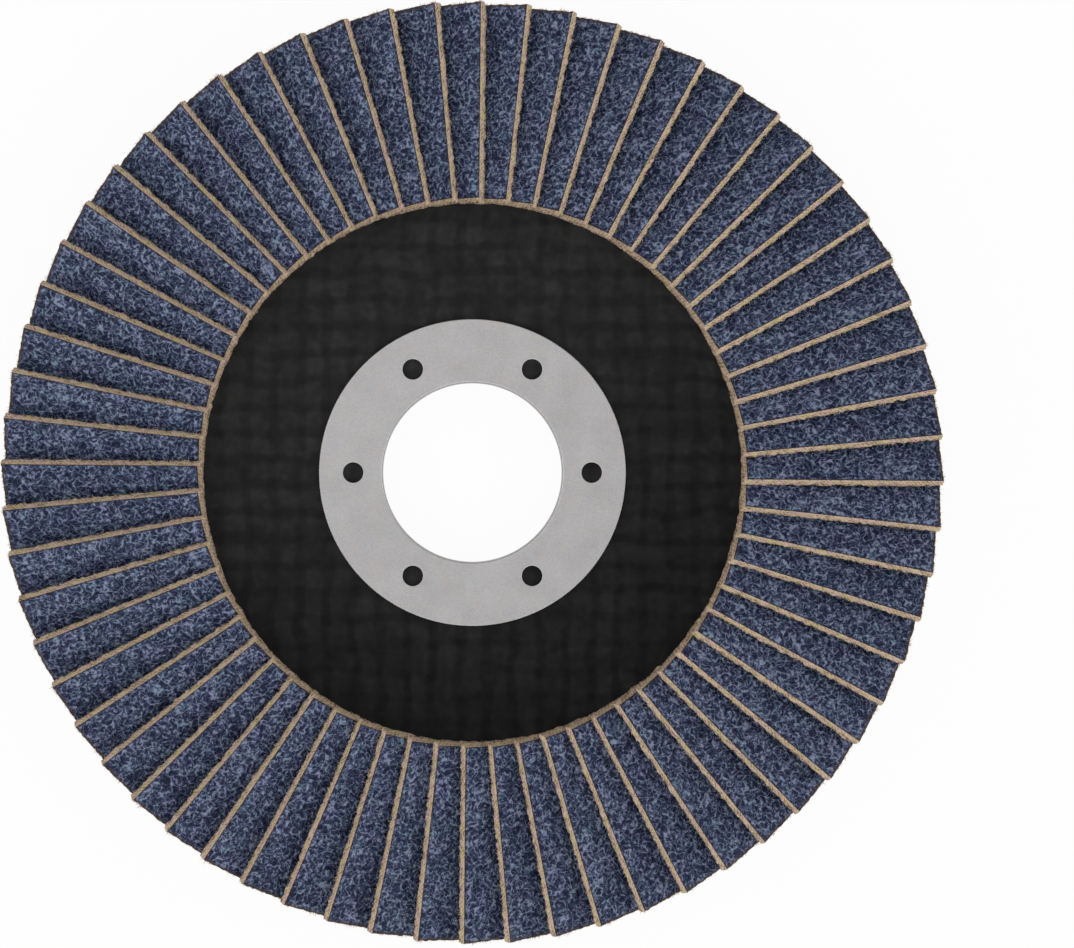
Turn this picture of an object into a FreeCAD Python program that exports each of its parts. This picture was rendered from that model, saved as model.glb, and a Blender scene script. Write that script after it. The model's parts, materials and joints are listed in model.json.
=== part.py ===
import FreeCAD, Part
import math
import os

# Flap disc for an angle grinder, 115 mm across with a 22.23 mm bore.
# All lengths are in millimetres and all angles in degrees.
# Frame: the bore's axis is Z and the disc lies on its back with the flaps up.
# The origin is on the bore's axis, in the plane of the plate's back face.

# Driving dimensions
disc_od = 115.0            # widest size, over the outer corners of the flaps
bore_d = 22.23             # standard bore of the steel hub ring

flap_count = 64            # flaps in the full circle
flap_t = 1.55              # coated cloth, grain and all
flap_w = 11.0              # flap from its buried edge to its free edge
flap_inner_r = 33.19       # radius of the flaps' inner ends, on their grain face
flap_toe = 0.48            # those ends are cut on a slant and reach in this far below
flap_clear = 0.02          # space between neighbouring flaps where they are closest
flap_offset = 0.50         # how far the free edge passes beside the disc's axis
first_flap_deg = -0.481    # direction of the first flap's free edge
flaps_per_node = 2         # neighbouring flaps kept together in one file

plate_t = 3.0              # pressed glass-fibre backing plate
plate_overhang = 4.5       # how far the flaps reach past the plate's rim
plate_rim_t = 2.2          # the plate is thinner at its rim
plate_rim_taper = 6.0      # width of that thinner border
plate_edge_r = 0.5         # broken edges of the plate's rim

ring_od = 38.0             # flange of the hub ring on the plate's front
ring_t = 1.0               # sheet thickness of the flange
ring_proud = 0.6           # height of the flange above the plate's face
ring_edge_r = 0.15         # broken outer edge of the flange
bore_edge_r = 0.3          # broken edge where the flange turns into the bore
edge_flat_count = 2        # flats that stand for each of those small roundings
collar_t = 0.9             # wall of the ring's collar inside the plate
lip_bend_r = 1.5           # radius of the bore's flare, where the collar turns into the lip
bend_flat_count = 3        # flats that stand for that flare
lip_d = 29.0               # back lip that clamps the ring to the plate
lip_t = 0.9                # thickness of that lip
lip_sunk = 0.1             # the lip lies this far under the plate's back face
keying_count = 6           # small holes in the flange, filled by the plate's resin
keying_d = 2.5
keying_pcd = 29.5
pip_sunk = 0.25            # the resin stops this far under the flange's face
ring_fit = 0.05            # radial space between the ring and the plate

bead_h = 1.3               # height of the adhesive bed above the plate's face
bead_film = 0.1            # adhesive left under the flaps' lowest edges
bead_in = 0.35             # the bed starts this far outside the flaps' inner ends
bead_rim = 3.0             # the bed stops this far inside the plate's rim

# Derived sizes
disc_r = disc_od / 2
bore_r = bore_d / 2
pitch_deg = 360.0 / flap_count
inner_pitch = 2 * math.pi * flap_inner_r / flap_count
tilt = math.asin((flap_t + flap_clear) / inner_pitch)
stack_h = flap_w * math.sin(tilt) + flap_t * math.cos(tilt)
flap_low_y = flap_w * math.cos(tilt) - flap_offset
flap_outer = math.sqrt(disc_r ** 2 - flap_low_y ** 2)
flap_len = flap_outer - flap_inner_r

plate_r = disc_r - plate_overhang
ring_r = ring_od / 2
ring_top = plate_t + ring_proud
ring_seat = ring_top - ring_t
collar_r = bore_r + collar_t
lip_r = lip_d / 2
lip_top = lip_sunk + lip_t
keying_r = keying_d / 2
bead_in_r = flap_inner_r + bead_in
bead_out_r = plate_r - bead_rim
flap_top = plate_t + bead_film + stack_h

up = FreeCAD.Vector(0, 0, 1)


def point(r, z):
    """A point of a section in the XZ plane."""
    return FreeCAD.Vector(r, 0, z)


def bevel(cx, cz, radius, start, end, flats):
    """Points of a broken edge: a quarter circle in the XZ plane, taken in a few flats."""
    points = []
    for k in range(flats + 1):
        a = math.radians(start + (end - start) * k / flats)
        points.append(point(cx + radius * math.cos(a), cz + radius * math.sin(a)))
    return points


def turned(points):
    """The solid that a closed half section sweeps around the Z axis."""
    wire = Part.makePolygon(points + points[:1])
    return Part.Face(wire).revolve(FreeCAD.Vector(0, 0, 0), up, 360)


def on_circle(radius, angle_deg, z):
    a = math.radians(angle_deg)
    return FreeCAD.Vector(radius * math.cos(a), radius * math.sin(a), z)


def hub_ring():
    """Drawn steel ring: a flat flange, a collar and a lip turned outwards at the back."""
    e, b, h = ring_edge_r, bore_edge_r, lip_t / 3
    bend_r = bore_r + lip_bend_r
    bend_z = lip_sunk + lip_bend_r
    section = bevel(bore_r + b, ring_top - b, b, 180, 90, edge_flat_count)
    section += bevel(ring_r - e, ring_top - e, e, 90, 0, edge_flat_count)
    section += [point(ring_r, ring_seat), point(collar_r, ring_seat)]
    section += bevel(bend_r, bend_z, lip_bend_r - collar_t, 180, 270, 1)
    section += [point(lip_r, lip_top)]
    section += bevel(lip_r - h, lip_sunk + h, h, 0, -90, 1)
    section += bevel(bend_r, bend_z, lip_bend_r, 270, 180, bend_flat_count)
    ring = turned(section)
    for i in range(keying_count):
        foot = on_circle(keying_pcd / 2, i * 360.0 / keying_count, ring_seat - ring_t)
        ring = ring.cut(Part.makeCylinder(keying_r, 3 * ring_t, foot, up))
    return ring


def backing_plate():
    """Pressed plate with a seat for the ring on its front and one for the lip on its back."""
    e = plate_edge_r
    taper_r = plate_r - plate_rim_taper
    low = plate_t - plate_rim_t
    hole = collar_r + ring_fit
    seat = ring_r + ring_fit
    lip_seat = lip_r + ring_fit
    turn = lip_bend_r - collar_t
    section = bevel(hole + turn, lip_top + turn, turn, 270, 180, 1)
    section += [point(hole, ring_seat), point(seat, ring_seat), point(seat, plate_t)]
    section += bevel(plate_r - e, plate_t - e, e, 90, 0, 1)
    section += bevel(plate_r - e, low + e, e, 0, -90, 1)
    section += [point(taper_r, 0), point(lip_seat, 0), point(lip_seat, lip_top)]
    plate = turned(section)
    pip_h = ring_t - pip_sunk
    pip_root = pip_h / 2
    for i in range(keying_count):
        # each pip starts inside the plate, so that it grows out of it as one piece
        foot = on_circle(keying_pcd / 2, i * 360.0 / keying_count, ring_seat - pip_root)
        plate = plate.fuse(Part.makeCylinder(keying_r, pip_h + pip_root, foot, up))
    return plate.removeSplitter()


def flap(i):
    """One flat flap. It rises clockwise, seen from above, and its free edge is on top."""
    side = [point(0, 0), point(flap_len, 0), point(flap_len, -flap_t), point(-flap_toe, -flap_t)]
    f = Part.Face(Part.makePolygon(side + side[:1])).extrude(FreeCAD.Vector(0, flap_w, 0))
    f.rotate(FreeCAD.Vector(0, 0, 0), FreeCAD.Vector(1, 0, 0), -math.degrees(tilt))
    f.translate(FreeCAD.Vector(flap_inner_r, -flap_offset, flap_top))
    f.rotate(FreeCAD.Vector(0, 0, 0), up, first_flap_deg - i * pitch_deg)
    return f


def adhesive_bead(flaps):
    """Bed of adhesive on the plate, with the flaps' lower edges set into it."""
    foot = FreeCAD.Vector(0, 0, plate_t)
    bed = Part.makeCylinder(bead_out_r, bead_h, foot, up)
    bed = bed.cut(Part.makeCylinder(bead_in_r, bead_h, foot, up))
    return bed.cut(Part.makeCompound(flaps))


def save(name, shape):
    shape.exportStep(os.path.join("parts", name + ".step"))


os.makedirs("parts", exist_ok=True)
flaps = [flap(i) for i in range(flap_count)]
save("backing_plate", backing_plate())
save("hub_ring", hub_ring())
save("adhesive_bead", adhesive_bead(flaps))
for n in range(0, flap_count, flaps_per_node):
    group = Part.makeCompound(flaps[n:n + flaps_per_node])
    save("flap_pair_%02d" % (n // flaps_per_node + 1), group)
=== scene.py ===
import json
import math

import bmesh
import bpy
import numpy as np
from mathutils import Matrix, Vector, noise


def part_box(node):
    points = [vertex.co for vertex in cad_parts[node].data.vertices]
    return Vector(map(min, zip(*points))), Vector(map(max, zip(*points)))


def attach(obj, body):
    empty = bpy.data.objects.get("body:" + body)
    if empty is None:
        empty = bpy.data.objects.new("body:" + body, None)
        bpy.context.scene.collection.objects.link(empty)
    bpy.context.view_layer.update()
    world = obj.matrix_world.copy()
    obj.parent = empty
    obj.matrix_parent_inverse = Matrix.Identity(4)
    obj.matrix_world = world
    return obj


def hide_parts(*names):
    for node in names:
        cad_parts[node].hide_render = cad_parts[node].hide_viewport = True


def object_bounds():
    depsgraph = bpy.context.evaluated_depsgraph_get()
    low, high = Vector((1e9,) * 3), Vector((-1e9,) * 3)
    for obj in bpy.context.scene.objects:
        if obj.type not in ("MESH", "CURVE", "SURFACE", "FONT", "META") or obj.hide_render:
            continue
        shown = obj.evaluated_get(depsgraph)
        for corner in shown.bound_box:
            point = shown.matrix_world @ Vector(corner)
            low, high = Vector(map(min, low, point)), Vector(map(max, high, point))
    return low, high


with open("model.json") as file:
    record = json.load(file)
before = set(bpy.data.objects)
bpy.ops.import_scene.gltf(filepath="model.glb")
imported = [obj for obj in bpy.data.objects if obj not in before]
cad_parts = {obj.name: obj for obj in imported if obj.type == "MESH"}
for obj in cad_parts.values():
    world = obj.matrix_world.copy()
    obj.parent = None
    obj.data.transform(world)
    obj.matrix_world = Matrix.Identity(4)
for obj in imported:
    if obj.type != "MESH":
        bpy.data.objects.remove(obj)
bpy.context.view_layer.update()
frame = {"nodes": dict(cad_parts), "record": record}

# Looks of a flap disc for an angle grinder.
# Named lengths are in millimetres unless their comment says otherwise.
MM = 0.001                             # metres in a millimetre
ROOT = "root"

# Steel ring, from the frame and the record
ring_low, ring_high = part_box("hub_ring")
RING_R = round(ring_high.x / MM, 4)
RING_TOP = round(ring_high.z / MM, 4)
LIP_SUNK = round(ring_low.z / MM, 4)   # how far the back lip lies under the plate's back
MOUNTS = {mount["name"]: mount for mount in frame["record"]["mounts"]}
BORE_R = MOUNTS["bore"]["dims"]["r_mm"]

# Steel ring, sizes that it shares with its solid
RING_T = 1.0                           # sheet thickness of the flange
RING_EDGE = 0.15                       # rounding of the flange's outer edge
BORE_EDGE = 0.3                        # rounding where the flange turns into the bore
COLLAR_T = 0.9
LIP_R = 14.5
LIP_T = 0.9
LIP_BEND = 1.5                         # radius of the bore's flare at the back
KEY_R = 1.25                           # keying holes in the flange
KEY_CIRCLE = 14.75                     # radius of the circle that they lie on
KEY_COUNT = 6
KEY_SOFT = 0.1                         # soft edge of a keying hole
RING_STEPS = 256                       # facets round the ring
KEY_STEPS = 48                         # facets round a keying hole

# Flaps
FLAP_STEP = 0.25                       # grid of the grain face
FINE_W = 6.6                           # width of the grain face that can be seen
HIDDEN_ROWS = (7.4, 8.4, 9.6)          # wider rows of the grid under the next flap
EDGE_ROW = 0.09                        # first row of the grid beside the free edge
COARSE = 3                             # cells of the grid for each cell of the cloth's back
LAYERS = (0.0, 0.12, 0.36, 0.62, 0.9, 1.18, 1.4, 1.55)   # depths through a flap
GRAIN_RELIEF = 0.12                    # height of the grain's bumps
GRAIN_DEEPEST = 0.2
GRAIN_SHIFT = 0.07                     # sideways scatter of the grain face's points
GRAIN_SCATTER = 0.03                   # scatter of their depth
FACE_TOLERANCE = 1e-5                  # in metres: a corner this near to a face lies on it

# Waves of a flap's surface: how many per millimetre, and a seed of their own
GRAIN_WAVE, LUMP_WAVE = (1.9, 0), (0.8, 99)
YARN_WAVE, FRAY_WAVE = (2.6, 200), (2.1, 300)
OUTER_WAVE, INNER_WAVE = (2.4, 400), (1.8, 500)
SEED_STEP = (17.3, 5.1, 9.7)           # how far one seed's noise lies from the next

# Ragged cut edges of a flap
TOP_YARN = 0.035                       # the free edge's corner gives way at the yarns
EDGE_YARN = 0.02                       # the free edge follows the yarns below it
EDGE_FRAY = 0.26                       # slow waves of its lower side
EDGE_SCATTER = 0.07                    # scatter of single points there
EDGE_BACK, FOOT_BACK = 0.07, 0.1       # how far the lower side and its foot draw back
OUTER_FRAY, OUTER_SCATTER = 0.12, 0.04
OUTER_LEDGE = (0.02, 0.06, 0.15)       # how far the outer end stands out, layer by layer
INNER_FRAY, INNER_SCATTER = 0.26, 0.05
INNER_BACK = 0.06                      # the inner end draws back this far

# Loose fibres on a flap's cut edges
FRAY_EDGE, FRAY_OUTER, FRAY_INNER = 120, 130, 14
FRAY_TUFTS = 8                         # tufts that the fibres of the outer end stand in
OUTER_SEEN = 5.8                       # width of the outer end that they stand on
INNER_SEEN = 3.6                       # width of the inner end that carries fibres
FIBRE_THICK = (0.02, 0.038)            # radius of a fibre at its root
FIBRE_POINTS = 7                       # two triangles and a tip
FIBRE_DEPTHS = (-0.8, -0.75, -0.7, -0.09)   # a fibre looks like the cloth this deep

# Patterns of the materials
YARN_WAVES = (1.3, 1.3, 3.2)           # per millimetre, along, across and through the cloth
PLATE_CELL = 3.28                      # pitch of the glass cloth's cells
PAINTED_LIGHT_FROM, PAINTED_LIGHT_TO = 26.0, 35.0        # radii where the painted light beside the flaps starts and is full
PAINTED_SHEEN_REACH = 26.0                    # the plate's painted sheen changes up to this far from the axis
WEAVE_FRONT, WEAVE_BACK = -22.0, -12.0   # the weave's balance changes between these places

# Camera: straight above the bore, at the photograph's distance
CAM_ABOVE = 235.0                      # from the flaps' tops to the lens
FLAP_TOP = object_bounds()[1][2] / MM      # height of the flaps' free edges
PX_PER_MM = 8.30                       # scale of the flaps' tops in the photograph
PHOTO_W, PHOTO_H = 1074, 948
CENTRE_PX = (472.4, 472.57)            # the bore's axis, from the photograph's corner
SENSOR_MM = 36.0
CAM_NEAR = 10.0                        # nearest distance that the camera shows

# Floor and light
FLOOR_HALF = 2000.0
FLOOR_DROP = 0.03                      # the floor lies this far under the disc's back
FLOOR_GLOW = 0.95                      # white share of the floor, where it is background
WORLD_LEVEL = 0.49                     # strength of the sky that lights the disc
LAMPS = (                              # name, place and size in metres, watts
    ("key", (0.0, -0.48, 0.36), (1.2, 0.35), 1.7),
    ("high", (-0.26, 0.26, 0.74), (0.5, 0.5), 0.65),
    ("east", (0.6, 0.0, 0.28), (0.5, 0.3), 1.06),
    ("west", (-0.6, 0.0, 0.28), (0.5, 0.3), 0.84))


# The flaps' places, read from the frame

def flap_frames(node):
    """Each flap of a node: its upper inner free corner, three directions, size and toe."""
    mesh = frame["nodes"][node].data
    places = np.array([v.co[:] for v in mesh.vertices])
    corners, corner_of = np.unique(places.round(7), axis=0, return_inverse=True)
    corner_of = corner_of.reshape(-1)
    group = np.arange(len(corners))
    # corners that share a face belong to one flap: a few rounds join all of a flap's corners
    for _ in range(4):
        for face in mesh.polygons:
            ids = corner_of[list(face.vertices)]
            group[ids] = group[ids].min()
    found = []
    for flap in np.unique(group):
        points = corners[group == flap]
        upward = [f for f in mesh.polygons
                  if group[corner_of[f.vertices[0]]] == flap and f.normal.z > 0]
        ez = np.array(max(upward, key=lambda f: f.area).normal)
        height = points @ ez
        top = points[height > height.max() - FACE_TOLERANCE]
        low = points[height < height.min() + FACE_TOLERANCE]
        far = sorted(top[1:], key=lambda q: np.linalg.norm(q - top[0]))[1]
        ex = (far - top[0]) / np.linalg.norm(far - top[0])
        ex = ex * np.sign(ex @ points.mean(0))
        ey = np.cross(ez, ex)
        corner = min(top, key=lambda q: q @ ex + q @ ey)
        size = [np.ptp(top @ ex) / MM, np.ptp(top @ ey) / MM, np.ptp(height) / MM]
        toe = ((top @ ex).min() - (low @ ex).min()) / MM
        found.append((corner, np.array([ex, ey, ez]), size, toe))
    return sorted(found, key=lambda f: math.atan2(f[0][1], f[0][0]))


FLAPS = {n: flap_frames(n) for n in sorted(frame["nodes"]) if n.startswith("flap_pair_")}
(FLAP_LENGTH, FLAP_WIDTH, _), TOE = FLAPS["flap_pair_01"][0][2:]


# Node helpers

def srgb(colour):
    """A colour given as 0 to 255 per channel, as linear RGBA."""
    out = []
    for c in colour:
        c /= 255
        out.append(c / 12.92 if c <= 0.04045 else ((c + 0.055) / 1.055) ** 2.4)
    return (*out, 1.0)


class Nodes:
    """A material's node tree, with short calls for the nodes that repeat."""

    def __init__(self, name, rough=0.6, specular=0.3, metallic=0.0):
        self.mat = bpy.data.materials.new(name)
        self.mat.use_nodes = True
        self.tree = self.mat.node_tree
        self.bsdf = self.tree.nodes["Principled BSDF"]
        self.bsdf.inputs["Roughness"].default_value = rough
        self.bsdf.inputs["Specular IOR Level"].default_value = specular
        self.bsdf.inputs["Metallic"].default_value = metallic
        self.place = self.new("ShaderNodeTexCoord").outputs["Object"]

    def new(self, kind, **settings):
        node = self.tree.nodes.new(kind)
        for key, value in settings.items():
            setattr(node, key, value)
        return node

    def put(self, value, socket):
        """Links an output to a socket, or sets the socket's own value."""
        if isinstance(value, bpy.types.NodeSocket):
            self.tree.links.new(value, socket)
        else:
            socket.default_value = value

    def noise(self, scale, detail=2.0, rough=0.5, distortion=0.0, place=None):
        """Noise, mostly from 0.3 to 0.7, at the object's own place unless another is given."""
        node = self.new("ShaderNodeTexNoise")
        for key, value in (("Vector", place or self.place), ("Scale", scale),
                           ("Detail", detail), ("Roughness", rough),
                           ("Distortion", distortion)):
            self.put(value, node.inputs[key])
        return node.outputs["Fac"]

    def math(self, op, a, b=0.5, c=0.0):
        node = self.new("ShaderNodeMath", operation=op)
        for value, socket in zip((a, b, c), node.inputs):
            self.put(value, socket)
        return node.outputs[0]

    def parts(self, vector):
        """A vector's x, y and z."""
        node = self.new("ShaderNodeSeparateXYZ")
        self.put(vector, node.inputs[0])
        return node.outputs

    def ramp(self, fac, stops):
        """A colour for a value, from stops of a value and a colour."""
        node = self.new("ShaderNodeValToRGB")
        self.put(fac, node.inputs["Fac"])
        elements = node.color_ramp.elements
        while len(elements) < len(stops):
            elements.new(0.5)
        for element, (at, colour) in zip(elements, stops):
            element.position = at
            element.color = srgb(colour)
        return node.outputs["Color"]

    def span(self, value, low, high, to_low=0.0, to_high=1.0, ease="LINEAR"):
        """Carries the range low to high over to another range, and stops at its ends."""
        node = self.new("ShaderNodeMapRange", interpolation_type=ease)
        for key, number in (("Value", value), ("From Min", low), ("From Max", high),
                            ("To Min", to_low), ("To Max", to_high)):
            self.put(number, node.inputs[key])
        return node.outputs["Result"]

    def mix(self, fac, a, b, blend="MIX"):
        """Mixes two colours, each an output or 0 to 255 per channel."""
        node = self.new("ShaderNodeMix", data_type="RGBA", blend_type=blend)
        self.put(fac, node.inputs["Factor"])
        colours = [s for s in node.inputs if s.type == "RGBA"]
        for value, socket in zip((a, b), colours):
            self.put(srgb(value) if isinstance(value, tuple) else value, socket)
        return [s for s in node.outputs if s.type == "RGBA"][0]

    def moved(self, x, y, z):
        """The place, moved by some metres, so that one noise differs from another."""
        node = self.new("ShaderNodeMapping")
        self.put(self.place, node.inputs["Vector"])
        node.inputs["Location"].default_value = (x, y, z)
        return node.outputs["Vector"]

    def attribute(self, name, out="Fac"):
        """A value that each point of the mesh carries."""
        return self.new("ShaderNodeAttribute", attribute_name=name).outputs[out]

    def bump(self, height, distance_mm, strength):
        node = self.new("ShaderNodeBump")
        node.inputs["Strength"].default_value = strength
        node.inputs["Distance"].default_value = distance_mm * MM
        self.put(height, node.inputs["Height"])
        return node.outputs["Normal"]

    def finish(self, colour, normal, rough=None):
        """Gives the shader its colour, bump and roughness, and returns the material."""
        self.put(colour, self.bsdf.inputs["Base Color"])
        self.put(normal, self.bsdf.inputs["Normal"])
        if rough is not None:
            self.put(rough, self.bsdf.inputs["Roughness"])
        return self.mat


# Materials

def flap_place(n):
    """A point's place in its flat flap: along, across from the free edge, and up."""
    return n.parts(n.attribute("flap_at", "Vector"))


def grain_material():
    """Abrasive grain under a navy resin coat: light ridges of grain over dark hollows."""
    n = Nodes("abrasive_grain", rough=0.62, specular=0.14)
    other, third = n.moved(0.31, 0.17, 0.23), n.moved(0.71, 0.43, 0.11)

    def ridges(scale, width, place=None):
        level = n.noise(scale, detail=0.5, rough=0.55, distortion=0.6, place=place)
        off = n.math("ABSOLUTE", n.math("SUBTRACT", level, 0.5))
        return n.span(off, 0.0, width, 1.0, 0.0)

    crest = ridges(1200, 0.15)
    for scale, width, place, share in ((1600, 0.13, other, 0.85), (1900, 0.13, third, 0.5)):
        crest = n.math("MAXIMUM", crest, n.math("MULTIPLY", ridges(scale, width, place), share))
    crest = n.math("POWER", crest, 1.3)
    height = n.math("MULTIPLY", crest, n.span(n.noise(2400, detail=1.0), 0.32, 0.7, 0.62, 1.38))

    x, y, _ = flap_place(n)
    patches = n.span(n.noise(700, detail=2.0, place=other), 0.3, 0.7, -0.07, 0.1)
    fleck = n.span(n.noise(3400, detail=0.0, place=third), 0.62, 0.76, 0.0, 0.26)
    tone = n.math("ADD", height, patches)
    tone = n.math("ADD", tone, n.math("MULTIPLY", fleck, crest))
    tone = n.math("ADD", tone, n.span(n.attribute("flap_tone"), 0.0, 1.0, -0.03, 0.03))
    # painted light: the grain is lighter near the flap's raised free edge
    tone = n.math("ADD", tone, n.span(y, 0.2, 0.9, 0.06, 0.0))
    colour = n.ramp(tone, (
        (0.0, (13, 17, 38)), (0.25, (33, 40, 65)), (0.5, (57, 66, 92)),
        (0.75, (89, 100, 127)), (1.0, (134, 145, 169))))
    hue = n.ramp(n.noise(420, detail=2.0, rough=0.7, place=third), (
        (0.36, (243, 255, 252)), (0.5, (254, 254, 254)), (0.64, (255, 247, 255))))
    colour = n.mix(1.0, colour, hue, "MULTIPLY")

    # a dark uneven border along the cut edges, and a darker brown band at the disc's rim
    wander = n.span(n.noise(2600, detail=1.0), 0.3, 0.7, -0.05, 0.07)
    ends = n.math("MINIMUM", x, n.math("SUBTRACT", FLAP_LENGTH, x))
    inwards = n.math("SUBTRACT", n.math("MINIMUM", ends, y), wander)
    colour = n.mix(n.span(inwards, 0.07, 0.2, 0.75, 0.0), colour, (46, 36, 38))
    rim_band = n.span(n.math("SUBTRACT", x, wander), FLAP_LENGTH - 0.5, FLAP_LENGTH, 0.0, 0.75)
    colour = n.mix(rim_band, colour, (74, 62, 60))
    return n.finish(colour, n.bump(height, 0.15, 0.8))


def cloth_material():
    """Raw cut edge and back of the cloth: tan yarn ends, a little yellow or pink."""
    n = Nodes("flap_cloth", rough=0.85, specular=0.1)
    x, y, z = flap_place(n)
    layers = n.new("ShaderNodeVectorMath", operation="MULTIPLY_ADD")
    shift = n.math("MULTIPLY", n.attribute("flap_tone"), 90.0)
    for value, socket in zip((n.attribute("flap_at", "Vector"), YARN_WAVES, shift),
                             layers.inputs):
        n.put(value, socket)
    yarn = n.noise(1.0, detail=2.0, rough=0.6, distortion=0.4, place=layers.outputs[0])
    tint = n.ramp(n.noise(1100, detail=3.0, rough=0.8), (
        (0.38, (212, 196, 147)), (0.5, (212, 192, 168)), (0.62, (221, 187, 179))))

    # the twill's slanting ribs show most towards the cloth's back
    lean = n.math("MULTIPLY_ADD", n.math("ADD", x, y), 12.0, n.math("MULTIPLY", z, 9.0))
    lean = n.math("MULTIPLY_ADD", yarn, 12.0, lean)
    twill = n.math("MULTIPLY", n.math("SINE", lean), n.span(z, -1.5, -1.3, 0.2, 0.1))
    shade = n.ramp(n.math("ADD", twill, yarn), (
        (0.26, (146, 134, 120)), (0.47, (236, 233, 229)), (0.62, (255, 255, 255))))
    colour = n.mix(1.0, tint, shade, "MULTIPLY")

    # darker at the inner end from painted shade, at the foot partly from the cloth's brown resin
    # and partly from painted shade, and just under the grain
    # painted shade: the inner end is darker away from the free edge
    inner = n.math("MULTIPLY", n.span(x, 0.0, 0.12, 1.0, 0.0), n.span(y, 0.1, 0.8))
    colour = n.mix(n.math("MULTIPLY", inner, 0.26), colour, (92, 76, 58))
    # partly the brown resin of the cloth's back, partly painted shade: the foot is browner
    depth = n.math("ADD", z, n.span(yarn, 0.3, 0.7, -0.16, 0.16))
    colour = n.mix(n.span(depth, -1.5, -1.1, 0.5, 0.0), colour, (84, 66, 52))
    coat = n.span(n.math("ADD", z, n.span(yarn, 0.3, 0.7, -0.04, 0.04)), -0.13, -0.06)
    colour = n.mix(coat, colour, (52, 44, 50))
    return n.finish(colour, n.bump(yarn, 0.10, 0.7))


def plate_material():
    """Black resin plate, with the cells of its glass cloth just showing."""
    n = Nodes("plate_resin", rough=0.55, specular=0.05)
    x, y, _ = n.parts(n.place)

    def rows(axis, seed):
        """Soft bands of the cloth along one axis, uneven in place and in strength."""
        warp = n.noise(170, detail=2.0, place=n.moved(seed, 0.3, 0.7))
        turns = n.math("MULTIPLY_ADD", axis, math.tau / (PLATE_CELL * MM),
                       n.span(warp, 0.3, 0.7, -1.1, 1.1))
        band = n.span(n.math("COSINE", turns), -1.0, 0.1, ease="SMOOTHSTEP")
        level = n.noise(260, detail=2.0, rough=0.6, place=n.moved(0.2, seed, 0.4))
        return n.math("MULTIPLY", band, n.span(level, 0.35, 0.65, 0.4, 1.6))

    share = n.span(y, WEAVE_FRONT * MM, WEAVE_BACK * MM, 0.3, 0.2)
    across = n.math("MULTIPLY", rows(x, 0.11), share)
    cells = n.math("MULTIPLY_ADD", rows(y, 0.53), n.math("SUBTRACT", 0.45, share), across)
    lumps = n.noise(900, detail=3.0, rough=0.65)
    tone = n.math("ADD", n.math("ADD", cells, n.span(lumps, 0.3, 0.7, -0.19, 0.19)), 0.01)

    # painted light beside the flaps, where their shade falls, and a painted sheen that changes
    # slowly across the plate
    away = n.new("ShaderNodeVectorMath", operation="LENGTH")
    n.put(n.place, away.inputs[0])
    # painted light: the plate is lighter towards the flaps, where their shade falls
    painted_light = n.span(away.outputs["Value"], PAINTED_LIGHT_FROM * MM, PAINTED_LIGHT_TO * MM, 0.0, 0.44,
                  ease="SMOOTHSTEP")
    # painted sheen: the plate is lighter towards +Y and -X and darker on the far side
    along = n.math("MULTIPLY_ADD", x, -0.5, y)
    painted_sheen = n.span(along, -PAINTED_SHEEN_REACH * MM, PAINTED_SHEEN_REACH * MM, -0.22, 0.22,
                    ease="SMOOTHSTEP")
    tone = n.span(n.math("ADD", n.math("ADD", tone, painted_light), painted_sheen), -0.3, 1.3)
    colour = n.ramp(tone, ((0.0, (18, 18, 18)), (0.5, (37, 37, 37)), (1.0, (57, 57, 57))))
    height = n.math("MULTIPLY_ADD", lumps, 0.35, n.math("MULTIPLY", cells, 0.35))
    rough = n.span(tone, 0.25, 0.75, 0.62, 0.48)
    return n.finish(colour, n.bump(height, 0.06, 0.5), rough)


def steel_material():
    """Zinc-plated sheet steel, matt, with a very fine mottle."""
    n = Nodes("ring_steel", rough=0.45, metallic=1.0)
    fine = n.noise(5200, detail=2.0, rough=0.6)
    patch = n.noise(240, detail=3.0, rough=0.6)
    tone = n.math("ADD", n.span(patch, 0.3, 0.7, -0.12, 0.12), fine)
    colour = n.ramp(tone, ((0.25, (154, 153, 153)), (0.75, (171, 170, 170))))
    tint = n.ramp(n.noise(900, detail=2.0), ((0.35, (255, 252, 250)), (0.65, (252, 252, 255))))
    colour = n.mix(1.0, colour, tint, "MULTIPLY")
    rough = n.span(patch, 0.3, 0.7, 0.42, 0.5)
    return n.finish(colour, n.bump(fine, 0.01, 0.35), rough)


def adhesive_material():
    """Dark adhesive resin."""
    n = Nodes("adhesive_resin", rough=0.45, specular=0.2)
    lumps = n.noise(900, detail=3.0, rough=0.6)
    colour = n.ramp(lumps, ((0.3, (14, 12, 11)), (0.7, (34, 28, 24))))
    return n.finish(colour, n.bump(lumps, 0.15, 0.6))


GRAIN, CLOTH = grain_material(), cloth_material()
PLATE, STEEL, ADHESIVE = plate_material(), steel_material(), adhesive_material()


# Mesh helpers

def add_object(name, data):
    piece = bpy.data.objects.new(name, data)
    bpy.context.scene.collection.objects.link(piece)
    return piece


def mesh_piece(name, points, faces, mats, smooth, kinds=None):
    """A piece in metres. kinds says which material each face has."""
    mesh = bpy.data.meshes.new(name)
    mesh.from_pydata([tuple(p) for p in points], [], faces)
    for mat in mats:
        mesh.materials.append(mat)
    if kinds is not None:
        mesh.polygons.foreach_set("material_index", np.array(kinds, np.int32))
    mesh.polygons.foreach_set("use_smooth", np.array(smooth, bool))
    mesh.update()
    return add_object(name, mesh)


def mark_sharp(mesh, angle_deg):
    """Splits shading only where the surface turns sharply."""
    mesh.set_sharp_from_angle(angle=math.radians(angle_deg))


# Flaps

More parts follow.
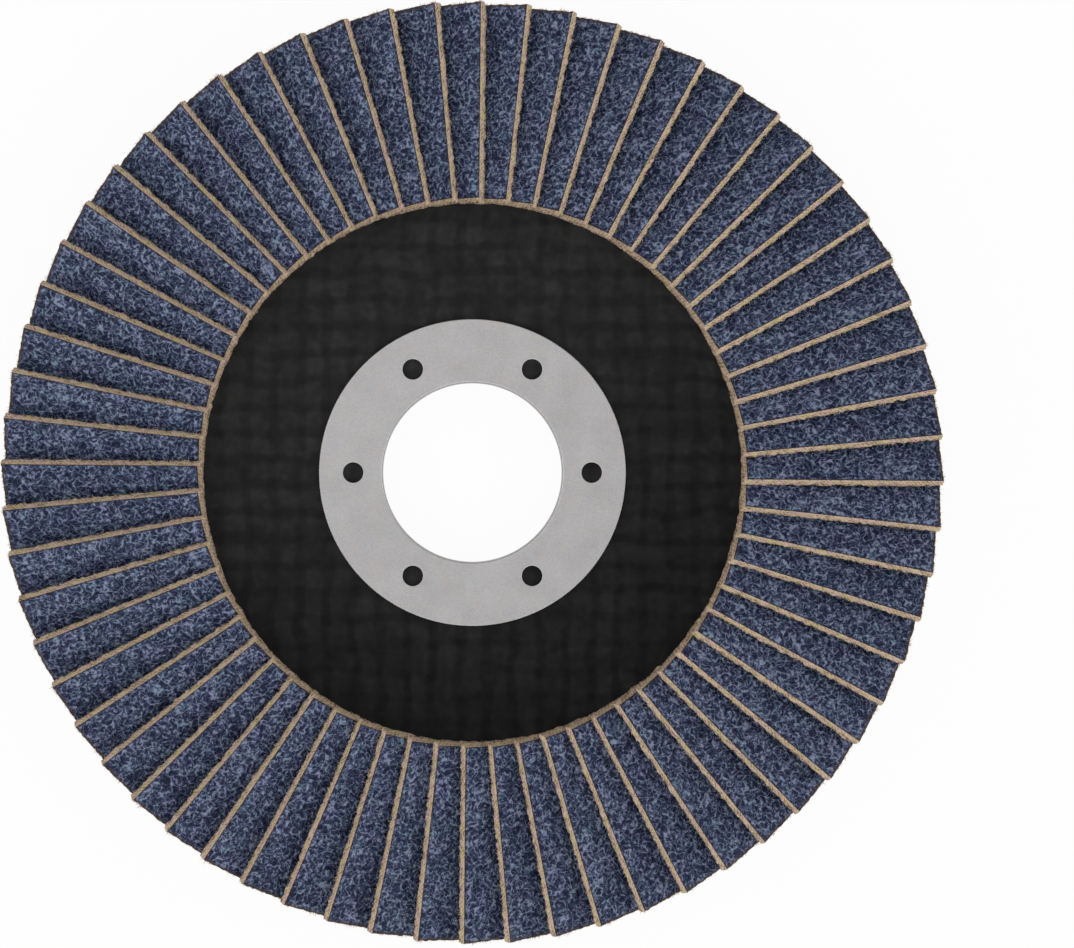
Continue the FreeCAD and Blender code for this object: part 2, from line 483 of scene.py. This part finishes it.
def flap_grid(length, width):
    """Lattice of a flap's surface: its points as integer steps, faces and face materials."""
    nx = COARSE * round(length / FLAP_STEP / COARSE)
    ys = [0.0, EDGE_ROW, *np.arange(FLAP_STEP, FINE_W, FLAP_STEP), *HIDDEN_ROWS, width]
    hidden = len(HIDDEN_ROWS) + 1
    while (len(ys) - 1) % COARSE:
        ys.insert(-hidden, (ys[-hidden - 1] + ys[-hidden]) / 2)
    ny, nz = len(ys) - 1, len(LAYERS) - 1
    ids, faces, kinds = {}, [], []

    def face(points, kind):
        faces.append([ids.setdefault(p, len(ids)) for p in points])
        kinds.append(kind)

    # the grain face, and the free edge down to the last layer but one
    for i in range(nx):
        for j in range(ny):
            face([(i, j, 0), (i + 1, j, 0), (i + 1, j + 1, 0), (i, j + 1, 0)], 0)
        for k in range(nz - 1):
            face([(i, 0, k), (i, 0, k + 1), (i + 1, 0, k + 1), (i + 1, 0, k)], 1)
    # the two ends, whose last row joins the fine grid to the coarse one
    for end, flip in ((0, False), (nx, True)):
        for j in range(ny):
            for k in range(nz - 1):
                p = [(end, j, k), (end, j + 1, k), (end, j + 1, k + 1), (end, j, k + 1)]
                face(p[::-1] if flip else p, 1)
        for j in range(0, ny, COARSE):
            p = [(end, j + q, nz - 1) for q in range(COARSE + 1)]
            p += [(end, j + COARSE, nz), (end, j, nz)]
            face(p[::-1] if flip else p, 1)
    # the free edge's last row, the buried edge and the back
    for i in range(0, nx, COARSE):
        run = range(COARSE + 1)
        face([(i + q, 0, nz - 1) for q in run][::-1] + [(i, 0, nz), (i + COARSE, 0, nz)], 1)
        cell = [(i + q, ny, 0) for q in run]
        cell += [(i + COARSE, ny, k) for k in range(1, nz + 1)]
        cell += [(i, ny, k) for k in range(nz, 0, -1)]
        face(cell, 1)
        for j in range(0, ny, COARSE):
            face([(i, j, nz), (i, j + COARSE, nz), (i + COARSE, j + COARSE, nz),
                  (i + COARSE, j, nz)], 1)
    return nx, ys, np.array(list(ids)), faces, kinds


def field(points, wave, seed):
    """Smooth noise from -1 to 1 at points in millimetres."""
    per_mm, own_seed = wave
    shift = Vector([(seed + own_seed) * step for step in SEED_STEP])
    return np.array([noise.noise(Vector(p) * per_mm + shift) for p in points.tolist()])


def flap_points(size, toe, nx, ys, lattice, seed):
    """A flap's points in its own frame in millimetres: with relief and ragged edges, and flat."""
    local = np.random.default_rng(1000 + seed)
    i, j, k = lattice.T
    x = i * size[0] / nx
    y = np.array(ys)[j]
    z = -np.array(LAYERS)[k] * size[2] / LAYERS[-1]
    top = k == 0
    free = j == 0
    inside_x = (i > 0) & (i < nx)
    inside_y = (j > 1) & (j < len(ys) - 1)
    flat = np.stack([x, y, z], 1)
    p = flat.copy()
    jitter = local.uniform(-1, 1, (len(p), 3))

    # relief of the grain face
    p[:, 0] += np.where(inside_x & (top | free), jitter[:, 0] * GRAIN_SHIFT, 0)
    p[:, 1] += np.where(inside_y & top, jitter[:, 1] * GRAIN_SHIFT, 0)
    grain = field(p, GRAIN_WAVE, seed) * 0.6 + field(p, LUMP_WAVE, seed) * 0.4
    depth = GRAIN_RELIEF / 2 - GRAIN_RELIEF * grain + jitter[:, 2] * GRAIN_SCATTER
    p[:, 2] -= np.where(top, np.clip(depth, 0.0, GRAIN_DEEPEST), 0)

    # the free edge follows the yarns and frays towards its lower side
    yarn = field(flat * (1, 0, 1), YARN_WAVE, seed)
    below = np.clip(-z / size[2], 0, 1)
    bumps = EDGE_FRAY * below ** 2 * field(flat * (1, 0, 0), FRAY_WAVE, seed)
    ragged = EDGE_SCATTER * jitter[:, 1] * (below > 0.6) + bumps
    fray = EDGE_YARN * yarn + ragged - EDGE_BACK * below ** 2 - FOOT_BACK * (below == 1)
    p[:, 1] -= np.where(free & (k > 0), fray, 0)
    p[:, 1] += np.where(free & top, np.abs(TOP_YARN * yarn), 0)

    # the outer end stands a little proud under the grain, and the inner end is cut on a slant
    outer = OUTER_FRAY * field(flat * (0, 1, 0), OUTER_WAVE, seed) + OUTER_SCATTER * jitter[:, 0]
    outer += np.array(OUTER_LEDGE)[np.minimum(k, 2)]
    p[:, 0] += np.where(i == nx, outer, 0)
    inner = INNER_FRAY * field(flat * (0, 1, 0), INNER_WAVE, seed) + INNER_SCATTER * jitter[:, 0]
    inner -= INNER_BACK
    p[:, 0] -= np.where(i == 0, below * (toe + inner), 0)
    return p, flat


def free_edge_fibre(size, local):
    """Root, direction and reach of a loose fibre on a flap's free edge."""
    root = [local.uniform(0.1, size[0] - 0.1), 0.08, -size[2] * local.uniform(0.55, 0.98)]
    way = [local.normal(0, 0.8), -1.0, local.normal(-0.3, 0.3)]
    return root, way, local.uniform(0.12, 0.3)


def outer_end_fibre(size, local, tufts):
    """The same for the outer end, where the fibres stand in short and long tufts."""
    tuft = local.integers(len(tufts))
    root = [size[0], abs(tufts[tuft] + local.normal(0, 0.3)),
            -size[2] * local.uniform(0.06, 0.7)]
    way = [1.0, local.normal(0, 0.6), local.normal(-0.1, 0.2)]
    return root, way, (0.16 + 0.1 * (tuft % 3)) * local.uniform(0.7, 1.3)


def inner_end_fibre(size, local):
    """The same for the inner end, on its lower half."""
    down = local.uniform(0.5, 1.0)
    root = [0.05 - TOE * down, local.uniform(0.0, INNER_SEEN), -size[2] * down]
    way = [-1.0, local.normal(0, 0.8), local.normal(-0.1, 0.3)]
    return root, way, local.uniform(0.08, 0.18)


def add_fibre(points, faces, local, root, way, reach):
    """Adds a bent three-sided fibre that narrows to its tip."""
    way = np.array(way) / np.linalg.norm(way)
    bend = local.normal(0, 0.35, 3) * reach
    side_a = np.cross(way, (0.3, 0.5, 0.8))
    side_a /= np.linalg.norm(side_a)
    side_b = np.cross(way, side_a)
    thick = local.uniform(*FIBRE_THICK)
    base = len(points)
    for s, radius in ((0.0, thick), (0.6, thick * 0.75)):
        middle = root + way * reach * s + bend * s * s
        for corner in range(3):
            a = math.tau * corner / 3
            points.append(middle + (side_a * math.cos(a) + side_b * math.sin(a)) * radius)
    points.append(root + way * reach + bend)
    for a in range(3):
        b = (a + 1) % 3
        faces.append([base + a, base + b, base + 3 + b, base + 3 + a])
        faces.append([base + 3 + a, base + 3 + b, base + 6])
    faces.append([base + 2, base + 1, base])


def fibres(size, local):
    """Short loose fibres on the cut edges: points and faces in the flap's own frame."""
    points, faces = [], []
    tufts = local.uniform(0.0, OUTER_SEEN, FRAY_TUFTS)
    for _ in range(FRAY_EDGE):
        add_fibre(points, faces, local, *free_edge_fibre(size, local))
    for _ in range(FRAY_OUTER):
        add_fibre(points, faces, local, *outer_end_fibre(size, local, tufts))
    for _ in range(FRAY_INNER):
        add_fibre(points, faces, local, *inner_end_fibre(size, local))
    return np.array(points), faces


def build_flaps():
    """One piece for each node of flaps. Its materials read each point's flat place."""
    nx, ys, lattice, grid_faces, grid_kinds = flap_grid(FLAP_LENGTH, FLAP_WIDTH)
    number = 0
    for node, flaps in FLAPS.items():
        points, places, faces, kinds, smooth, tones = [], [], [], [], [], []
        base = 0
        for corner, axes, size, toe in flaps:
            local = np.random.default_rng(number)
            own, own_places = flap_points(size, toe, nx, ys, lattice, number)
            fuzz, fuzz_faces = fibres(size, local)
            fuzz_places = fuzz.copy()
            depths = local.choice(FIBRE_DEPTHS, len(fuzz) // FIBRE_POINTS)
            fuzz_places[:, 2] = depths.repeat(FIBRE_POINTS)
            both = np.concatenate([own, fuzz])
            points.append(corner + both * MM @ axes)
            places += [own_places, fuzz_places]
            faces += [[v + base for v in f] for f in grid_faces]
            faces += [[v + base + len(own) for v in f] for f in fuzz_faces]
            kinds += grid_kinds + [1] * len(fuzz_faces)
            smooth += [True] * len(grid_faces) + [False] * len(fuzz_faces)
            tones += [local.random()] * len(both)
            base += len(both)
            number += 1
        piece = mesh_piece(node + "_coated_cloth", np.concatenate(points), faces,
                           [GRAIN, CLOTH], smooth, kinds)
        tone = piece.data.attributes.new("flap_tone", "FLOAT", "POINT")
        tone.data.foreach_set("value", np.array(tones, np.float32))
        place = piece.data.attributes.new("flap_at", "FLOAT_VECTOR", "POINT")
        place.data.foreach_set("vector", np.concatenate(places).astype(np.float32).ravel())
        mark_sharp(piece.data, 50)
        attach(piece, ROOT)
        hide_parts(node)


# Steel ring

def arc_points(cx, cz, radius, start_deg, end_deg, steps):
    """Points of an arc in a section."""
    points = []
    for s in range(steps + 1):
        a = math.radians(start_deg + (end_deg - start_deg) * s / steps)
        points.append((cx + radius * math.cos(a), cz + radius * math.sin(a)))
    return points


def lathe(name, section, steps, mat):
    """A closed section of radii and heights, turned round the Z axis."""
    points, faces = [], []
    n = len(section)
    for s in range(steps):
        a = math.tau * s / steps
        points += [(r * MM * math.cos(a), r * MM * math.sin(a), z * MM) for r, z in section]
        t = (s + 1) % steps
        for q in range(n):
            w = (q + 1) % n
            faces.append([s * n + q, t * n + q, t * n + w, s * n + w])
    return mesh_piece(name, points, faces, [mat], [True] * len(faces))


def ring_section():
    """The drawn ring's section: flange, collar and back lip, with round edges."""
    flat = 0.05                        # narrow flat strip beside each rounding of the top
    seat = RING_TOP - RING_T
    small = LIP_T / 3
    bend_r, bend_z = BORE_R + LIP_BEND, LIP_SUNK + LIP_BEND
    section = arc_points(BORE_R + BORE_EDGE, RING_TOP - BORE_EDGE, BORE_EDGE, 180, 90, 6)
    section += [(BORE_R + BORE_EDGE + flat, RING_TOP), (RING_R - RING_EDGE - flat, RING_TOP)]
    section += arc_points(RING_R - RING_EDGE, RING_TOP - RING_EDGE, RING_EDGE, 90, 0, 6)
    section += [(RING_R, seat), (BORE_R + COLLAR_T, seat)]
    section += arc_points(bend_r, bend_z, LIP_BEND - COLLAR_T, 180, 270, 4)
    section += [(LIP_R, LIP_SUNK + LIP_T)]
    section += arc_points(LIP_R - small, LIP_SUNK + small, small, 0, -90, 4)
    section += arc_points(bend_r, bend_z, LIP_BEND, 270, 180, 8)
    return section


def hole_cutter():
    """The keying holes' inside, each widening softly at the flange's face."""
    form = bmesh.new()
    # radius and height of a hole's loops, from under the flange to above it
    rows = [(KEY_R, RING_TOP - 1.5 * RING_T), (KEY_R, RING_TOP - KEY_SOFT),
            (KEY_R + KEY_SOFT * 0.3, RING_TOP - KEY_SOFT * 0.3), (KEY_R + KEY_SOFT, RING_TOP),
            (KEY_R + KEY_SOFT * 3, RING_TOP + KEY_SOFT * 2)]
    for hole in range(KEY_COUNT):
        turn = math.tau * hole / KEY_COUNT
        cx, cy = KEY_CIRCLE * math.cos(turn), KEY_CIRCLE * math.sin(turn)
        loops = []
        for r, z in rows:
            angles = [math.tau * s / KEY_STEPS for s in range(KEY_STEPS)]
            loops.append([form.verts.new((
                (cx + r * math.cos(a)) * MM, (cy + r * math.sin(a)) * MM, z * MM))
                for a in angles])
        for low, high in zip(loops, loops[1:]):
            for s in range(KEY_STEPS):
                t = (s + 1) % KEY_STEPS
                form.faces.new((low[s], low[t], high[t], high[s]))
        form.faces.new(loops[0][::-1])
        form.faces.new(loops[-1])
    mesh = bpy.data.meshes.new("cutter")
    form.to_mesh(mesh)
    form.free()
    return add_object("cutter", mesh)


def build_ring():
    """The ring in steel, with its keying holes cut and its flat faces left flat."""
    ring = lathe("hub_ring_steel", ring_section(), RING_STEPS, STEEL)
    tool = hole_cutter()
    cut = ring.modifiers.new("holes", "BOOLEAN")
    cut.object, cut.operation, cut.solver = tool, "DIFFERENCE", "EXACT"
    bpy.context.view_layer.update()
    depsgraph = bpy.context.evaluated_depsgraph_get()
    done = bpy.data.meshes.new_from_object(ring.evaluated_get(depsgraph))
    ring.modifiers.clear()
    ring.data = done
    bpy.data.objects.remove(tool)
    done.materials.clear()
    done.materials.append(STEEL)
    mark_sharp(done, 40)
    for face in done.polygons:
        # the flange and the lip stay flat between their rounded edges
        if abs(face.normal.z) > 0.9999:
            face.use_smooth = False
    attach(ring, ROOT)
    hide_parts("hub_ring")


# Plate and adhesive

def dress_solids():
    """Gives the plate and the adhesive their materials. Their shapes are right as they are."""
    for node, mat in (("backing_plate", PLATE), ("adhesive_bead", ADHESIVE)):
        slots = frame["nodes"][node].data.materials
        slots.clear()
        slots.append(mat)


# Floor, light and camera

def background_ray(tree):
    """1 for a camera, glossy or transmission ray, which sees the plain white background."""
    path = tree.nodes.new("ShaderNodeLightPath")
    seen = path.outputs["Is Camera Ray"]
    for kind in ("Is Glossy Ray", "Is Transmission Ray"):
        either = tree.nodes.new("ShaderNodeMath")
        either.operation = "MAXIMUM"
        tree.links.new(seen, either.inputs[0])
        tree.links.new(path.outputs[kind], either.inputs[1])
        seen = either.outputs[0]
    return seen


def floor_material():
    """Pale paper that keeps the disc's shadow and otherwise shows as plain white."""
    mat = bpy.data.materials.new("floor_paper")
    mat.use_nodes = True
    tree = mat.node_tree
    tree.nodes.clear()
    new, link = tree.nodes.new, tree.links.new
    out, mix = new("ShaderNodeOutputMaterial"), new("ShaderNodeMixShader")
    matt, glow = new("ShaderNodeBsdfDiffuse"), new("ShaderNodeEmission")
    matt.inputs["Color"].default_value = srgb((240, 240, 238))
    glow.inputs["Color"].default_value = (1, 1, 1, 1)
    glow.inputs["Strength"].default_value = 1.0
    share = new("ShaderNodeMath")
    share.operation = "MULTIPLY"
    share.inputs[1].default_value = FLOOR_GLOW
    link(background_ray(tree), share.inputs[0])
    link(share.outputs[0], mix.inputs[0])
    link(matt.outputs[0], mix.inputs[1])
    link(glow.outputs[0], mix.inputs[2])
    link(mix.outputs[0], out.inputs["Surface"])
    return mat


def build_floor():
    half = FLOOR_HALF * MM
    mesh = bpy.data.meshes.new("floor")
    mesh.from_pydata([(-half, -half, 0), (half, -half, 0), (half, half, 0), (-half, half, 0)],
                     [], [(0, 1, 2, 3)])
    mesh.materials.append(floor_material())
    floor = add_object("floor", mesh)
    floor.location.z = -FLOOR_DROP * MM


def build_light():
    """An even sky and four soft lamps, one low in front, one high and one at each side."""
    world = bpy.data.worlds.new("studio")
    bpy.context.scene.world = world
    world.use_nodes = True
    tree = world.node_tree
    back = tree.nodes["Background"]
    back.inputs["Color"].default_value = (1, 1, 1, 1)
    level = tree.nodes.new("ShaderNodeMapRange")
    level.inputs["To Min"].default_value = WORLD_LEVEL
    level.inputs["To Max"].default_value = 1.0
    tree.links.new(background_ray(tree), level.inputs["Value"])
    tree.links.new(level.outputs["Result"], back.inputs["Strength"])
    for name, place, size, watts in LAMPS:
        light = bpy.data.lights.new(name, "AREA")
        light.shape = "RECTANGLE"
        light.size, light.size_y = size
        light.energy = watts
        lamp = add_object(name, light)
        lamp.location = place
        lamp.rotation_euler = (-lamp.location).to_track_quat("-Z", "Y").to_euler()


def build_camera():
    """A camera over the bore, with the photograph's scale and framing."""
    cam = bpy.data.cameras.new("camera")
    cam.sensor_width = SENSOR_MM
    cam.lens = SENSOR_MM * PX_PER_MM * CAM_ABOVE / PHOTO_W
    cam.shift_x = (PHOTO_W / 2 - CENTRE_PX[0]) / PHOTO_W
    cam.shift_y = (CENTRE_PX[1] - PHOTO_H / 2) / PHOTO_W
    cam.clip_start = CAM_NEAR * MM
    rig = add_object("camera", cam)
    rig.location = (0, 0, (FLAP_TOP + CAM_ABOVE) * MM)
    bpy.context.scene.camera = rig


build_flaps()
build_ring()
dress_solids()
build_floor()
build_light()
build_camera()
bpy.context.scene.view_settings.view_transform = "Standard"
